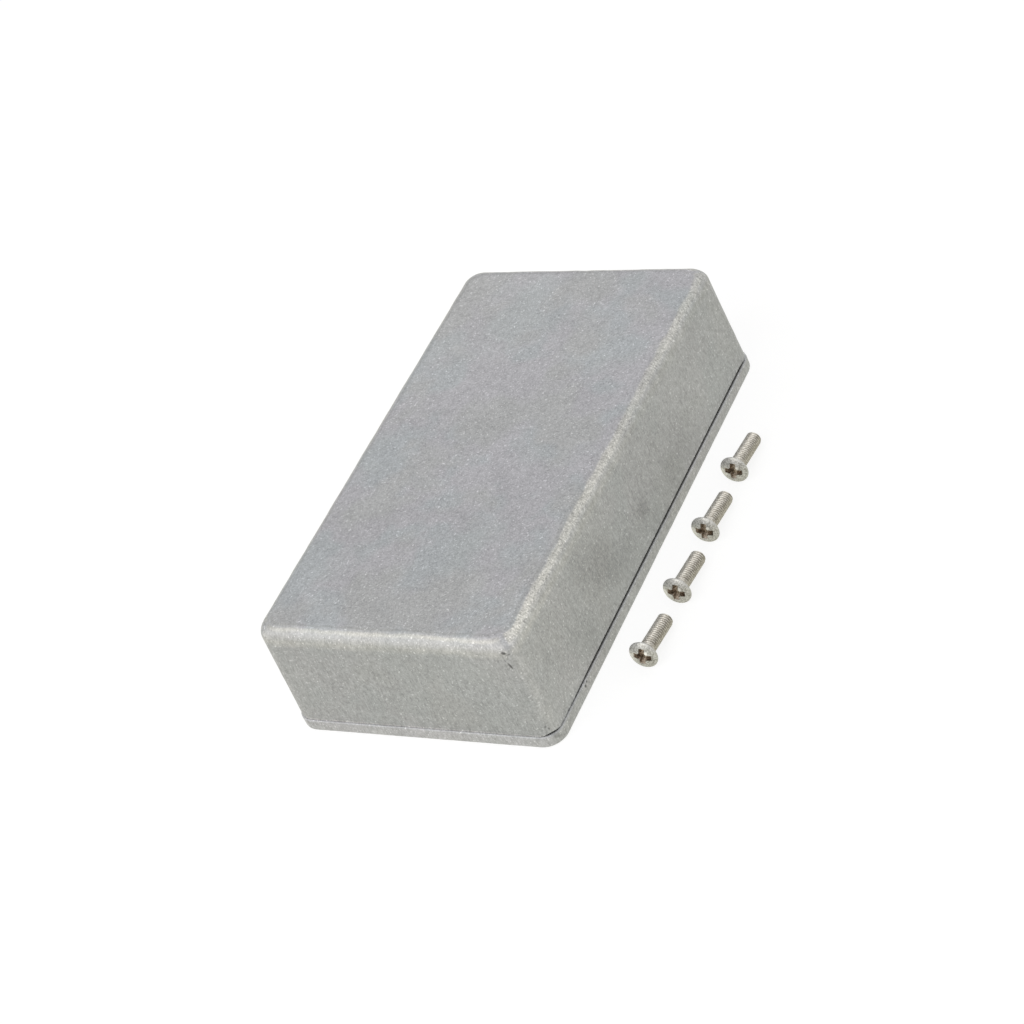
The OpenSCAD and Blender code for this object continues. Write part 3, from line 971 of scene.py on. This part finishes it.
def screw_finish():
    """Nickel plate: bright grey with fine mottling, painted brighter towards the box and painted lit along
    the top of the thread, with painted shade in the thread's grooves and down its sides, brown painted
    shade in the recess, darkest at its wings' tips, and a painted glint."""
    finish = Finish("nickel_plate")
    mottle = finish.noise(0.32, 2.0)
    # Painted light on the side of the head that faces the box
    colour = finish.blend(finish.attribute("boxward"), finish.mottled(mottle, HEAD_TONES, 0.36),
                          finish.mottled(mottle, BOXWARD_LIGHT_TONES, 0.36))
    colour = finish.cover(colour, display(*RIM_TONE), finish.attribute("rim"), 0.2, 1.0, 0.5)
    # Thread painted lit on its upper side and painted shade down its flanks
    thread = finish.cover(finish.mottled(mottle, SHADED_THREAD_TONES), finish.mottled(mottle, LIT_THREAD_TONES),
                          finish.attribute("lit_side"))
    # Painted shade in the thread's grooves
    thread = finish.cover(thread, display(*GROOVE_SHADE_TONE), finish.attribute("groove"), 0.1, 0.9, 0.5)
    colour = finish.blend(finish.attribute("shank"), colour, thread)
    # Brown painted shade in the recess, darkest at the wings' tips
    floor = finish.mottled(mottle, RECESS_SHADE_TONES)
    colour = finish.cover(colour, floor, finish.attribute("recess"), 0.0, 0.15, 0.95)
    colour = finish.cover(colour, display(*WING_TIP_SHADE_TONE), finish.attribute("tip"), 0.2, 0.9, 0.92)
    # Painted glint by the recess
    colour = finish.cover(colour, display(*GLINT_TONE), finish.attribute("glint"))
    finish.feed(finish.shader.inputs["Base Color"], colour)
    finish.feed(finish.shader.inputs["Roughness"], finish.fade(mottle, 0.3, 0.7, *PLATE_ROUGH))
    finish.bump(mottle, 0.01, 0.4)
    return finish.material


# Marks on the castings: centre, reach along each axis, turn and darkness
SHELL_MARKS = (
    ((29.4, -57.4, 27.2), (0.85, 0.6, 0.5), (0, 30, 0), 0.7),
    ((30.0, -57.0, 26.5), (0.75, 0.55, 0.32), (0, 0, 0), 0.35),
    ((29.6, -57.5, 23.6), (0.30, 0.32, 1.4), (0, -14, 0), 0.65),
    ((29.1, -57.6, 25.2), (0.27, 0.27, 0.65), (0, -14, 0), 0.3),
    ((30.5, -57.7, 5.6), (0.38, 0.38, 0.65), (0, 20, 0), 0.4),
    ((30.9, -57.4, 4.9), (0.32, 0.32, 0.55), (0, -20, 0), 0.4),
    ((31.8, -21.4, 16.0), (4.0, 18.0, 7.5), (-43, 0, 0), 0.12),
    ((31.8, -0.6, 11.4), (4.0, 3.4, 3.4), (0, 0, 0), 0.15),
    ((31.8, 13.4, 9.0), (4.0, 3.5, 6.0), (0, 0, 0), 0.10),
    ((-15.5, -27.0, 30.0), (7.0, 9.0, 4.0), (0, 0, -30), 0.06),
    ((3.0, 38.0, 30.0), (5.0, 10.0, 4.0), (0, 0, 35), 0.05),
    ((9.5, -11.0, 30.0), (3.5, 7.0, 4.0), (0, 0, 35), 0.05),
)
LID_MARKS = (
    ((32.7, -43.5, 2.4), (0.6, 0.40, 0.5), (0, 0, 0), 0.75),
    ((32.7, -42.6, 2.8), (0.5, 0.32, 0.4), (0, 0, 0), 0.6),
    ((31.7, -57.3, 2.4), (1.1, 1.1, 0.85), (0, 0, 0), 0.25),
    ((32.1, -56.7, 1.7), (0.55, 0.75, 0.55), (0, 0, 0), 0.2),
)


# Stage

FLOOR_REACH = 6000
FLOOR_COLOUR = (0.3, 0.3, 0.3, 1)
FLOOR_SEEN = (0.82, 0.82, 0.82)
FLOOR_MIRRORED = (0.785, 0.78, 0.69)
SKY_WHITE = (1, 1, 1)
SKY_FILL = (0.55, 0.55, 0.55)
# Soft boxes: the way to each from the box, the way its width lies, its sides, power and colour
LAMP_DISTANCE = 900
SOFT_BOXES = (
    ("left_softbox", (-0.40, -0.66, 0.64), (0.86, -0.15, 0.32), (1300, 780), 2.7, (1.0, 0.97, 0.92)),
    ("back_softbox", (0.68, 0.38, 0.62), (-0.1, -0.85, 0.4), (1250, 520), 0.5, (1.0, 0.985, 0.84)),
)


def by_ray(tree, seen, mirrored, unseen):
    """Colour that depends on the ray: seen by the camera, mirrored in a surface, or only lighting."""
    path = tree.nodes.new("ShaderNodeLightPath")
    mirror = tree.nodes.new("ShaderNodeMath")
    mirror.operation = "MAXIMUM"
    tree.links.new(path.outputs["Is Glossy Ray"], mirror.inputs[0])
    tree.links.new(path.outputs["Is Transmission Ray"], mirror.inputs[1])
    colour = (*unseen, 1)
    for factor, other in ((mirror.outputs[0], mirrored), (path.outputs["Is Camera Ray"], seen)):
        mix = tree.nodes.new("ShaderNodeMix")
        mix.data_type = "RGBA"
        tree.links.new(factor, mix.inputs["Factor"])
        if isinstance(colour, tuple):
            mix.inputs[6].default_value = colour
        else:
            tree.links.new(colour, mix.inputs[6])
        mix.inputs[7].default_value = (*other, 1)
        colour = mix.outputs[2]
    return colour


def stage_floor():
    """Pale floor: part of it glows for the camera, and the rest is lit and keeps the shadow."""
    reach = FLOOR_REACH * MM
    mesh = bpy.data.meshes.new("floor")
    corners = [(-reach, -reach, 0), (reach, -reach, 0), (reach, reach, 0), (-reach, reach, 0)]
    mesh.from_pydata(corners, [], [(0, 1, 2, 3)])
    floor = add_object("floor", mesh)
    material = bpy.data.materials.new("pale_floor")
    material.use_nodes = True
    tree = material.node_tree
    shader = tree.nodes["Principled BSDF"]
    shader.inputs["Base Color"].default_value = FLOOR_COLOUR
    shader.inputs["Roughness"].default_value = 1.0
    shader.inputs["Specular IOR Level"].default_value = 0.0
    shader.inputs["Emission Strength"].default_value = 1.0
    glow = by_ray(tree, FLOOR_SEEN, FLOOR_MIRRORED, (0, 0, 0))
    tree.links.new(glow, shader.inputs["Emission Color"])
    mesh.materials.append(material)


def studio_world():
    """White all round for the camera and in reflections, and a soft grey fill for the rest."""
    world = bpy.data.worlds.new("studio")
    bpy.context.scene.world = world
    world.use_nodes = True
    tree = world.node_tree
    background = tree.nodes["Background"]
    background.inputs["Strength"].default_value = 1.0
    sky = by_ray(tree, SKY_WHITE, SKY_WHITE, SKY_FILL)
    tree.links.new(sky, background.inputs["Color"])


def soft_box(name, toward, wide, size, power, colour):
    """Area light in a direction from the box and facing it, its width turned along another direction."""
    light = bpy.data.lights.new(name, "AREA")
    light.shape = "RECTANGLE"
    light.size, light.size_y = (side * MM for side in size)
    light.energy = power
    light.color = colour
    lamp = add_object(name, light)
    back = Vector(toward).normalized()
    across = Vector(wide)
    across = (across - back * across.dot(back)).normalized()
    turn = Matrix((across, back.cross(across), back)).transposed()
    lamp.matrix_world = Matrix.Translation(back * LAMP_DISTANCE * MM) @ turn.to_4x4()


def camera():
    """Camera at the photograph's angle, rolled with it."""
    data = bpy.data.cameras.new("camera")
    data.lens = LENS
    data.sensor_width = SENSOR_W
    data.clip_start = 10 * MM
    view = add_object("camera", data)
    right, forward = Vector(CAMERA_RIGHT), Vector(CAMERA_FORWARD)
    up = right.cross(forward)
    turn = Matrix((right, up, -forward)).transposed()
    view.matrix_world = Matrix.Translation(Vector(CAMERA_AT) * MM) @ turn.to_4x4()
    bpy.context.scene.camera = view


def main():
    """Sets the stage, makes the pieces and their finishes, attaches each piece to the root body and hides
    the solid that it stands for.
    """
    bpy.context.scene.view_settings.view_transform = "Standard"
    camera()
    studio_world()
    stage_floor()
    for values in SOFT_BOXES:
        soft_box(*values)
    shell_metal = cast_finish("cast_shell_finish", SHELL_TONE, SHELL_PALE, SHELL_MARKS)
    lid_metal = cast_finish("cast_lid_finish", LID_TONE, LID_PALE, LID_MARKS)
    plating = screw_finish()
    pieces = [(box_shell(), "box_shell", "cast_shell", shell_metal), (lid(), "lid", "cast_lid", lid_metal)]
    pieces += [(screw, "lid_screws", "plated_screw", plating) for screw in lid_screws()]
    for piece, node, slot, metal in pieces:
        piece.data.materials.append(metal)
        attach(piece, "root")
        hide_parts(node)


main()
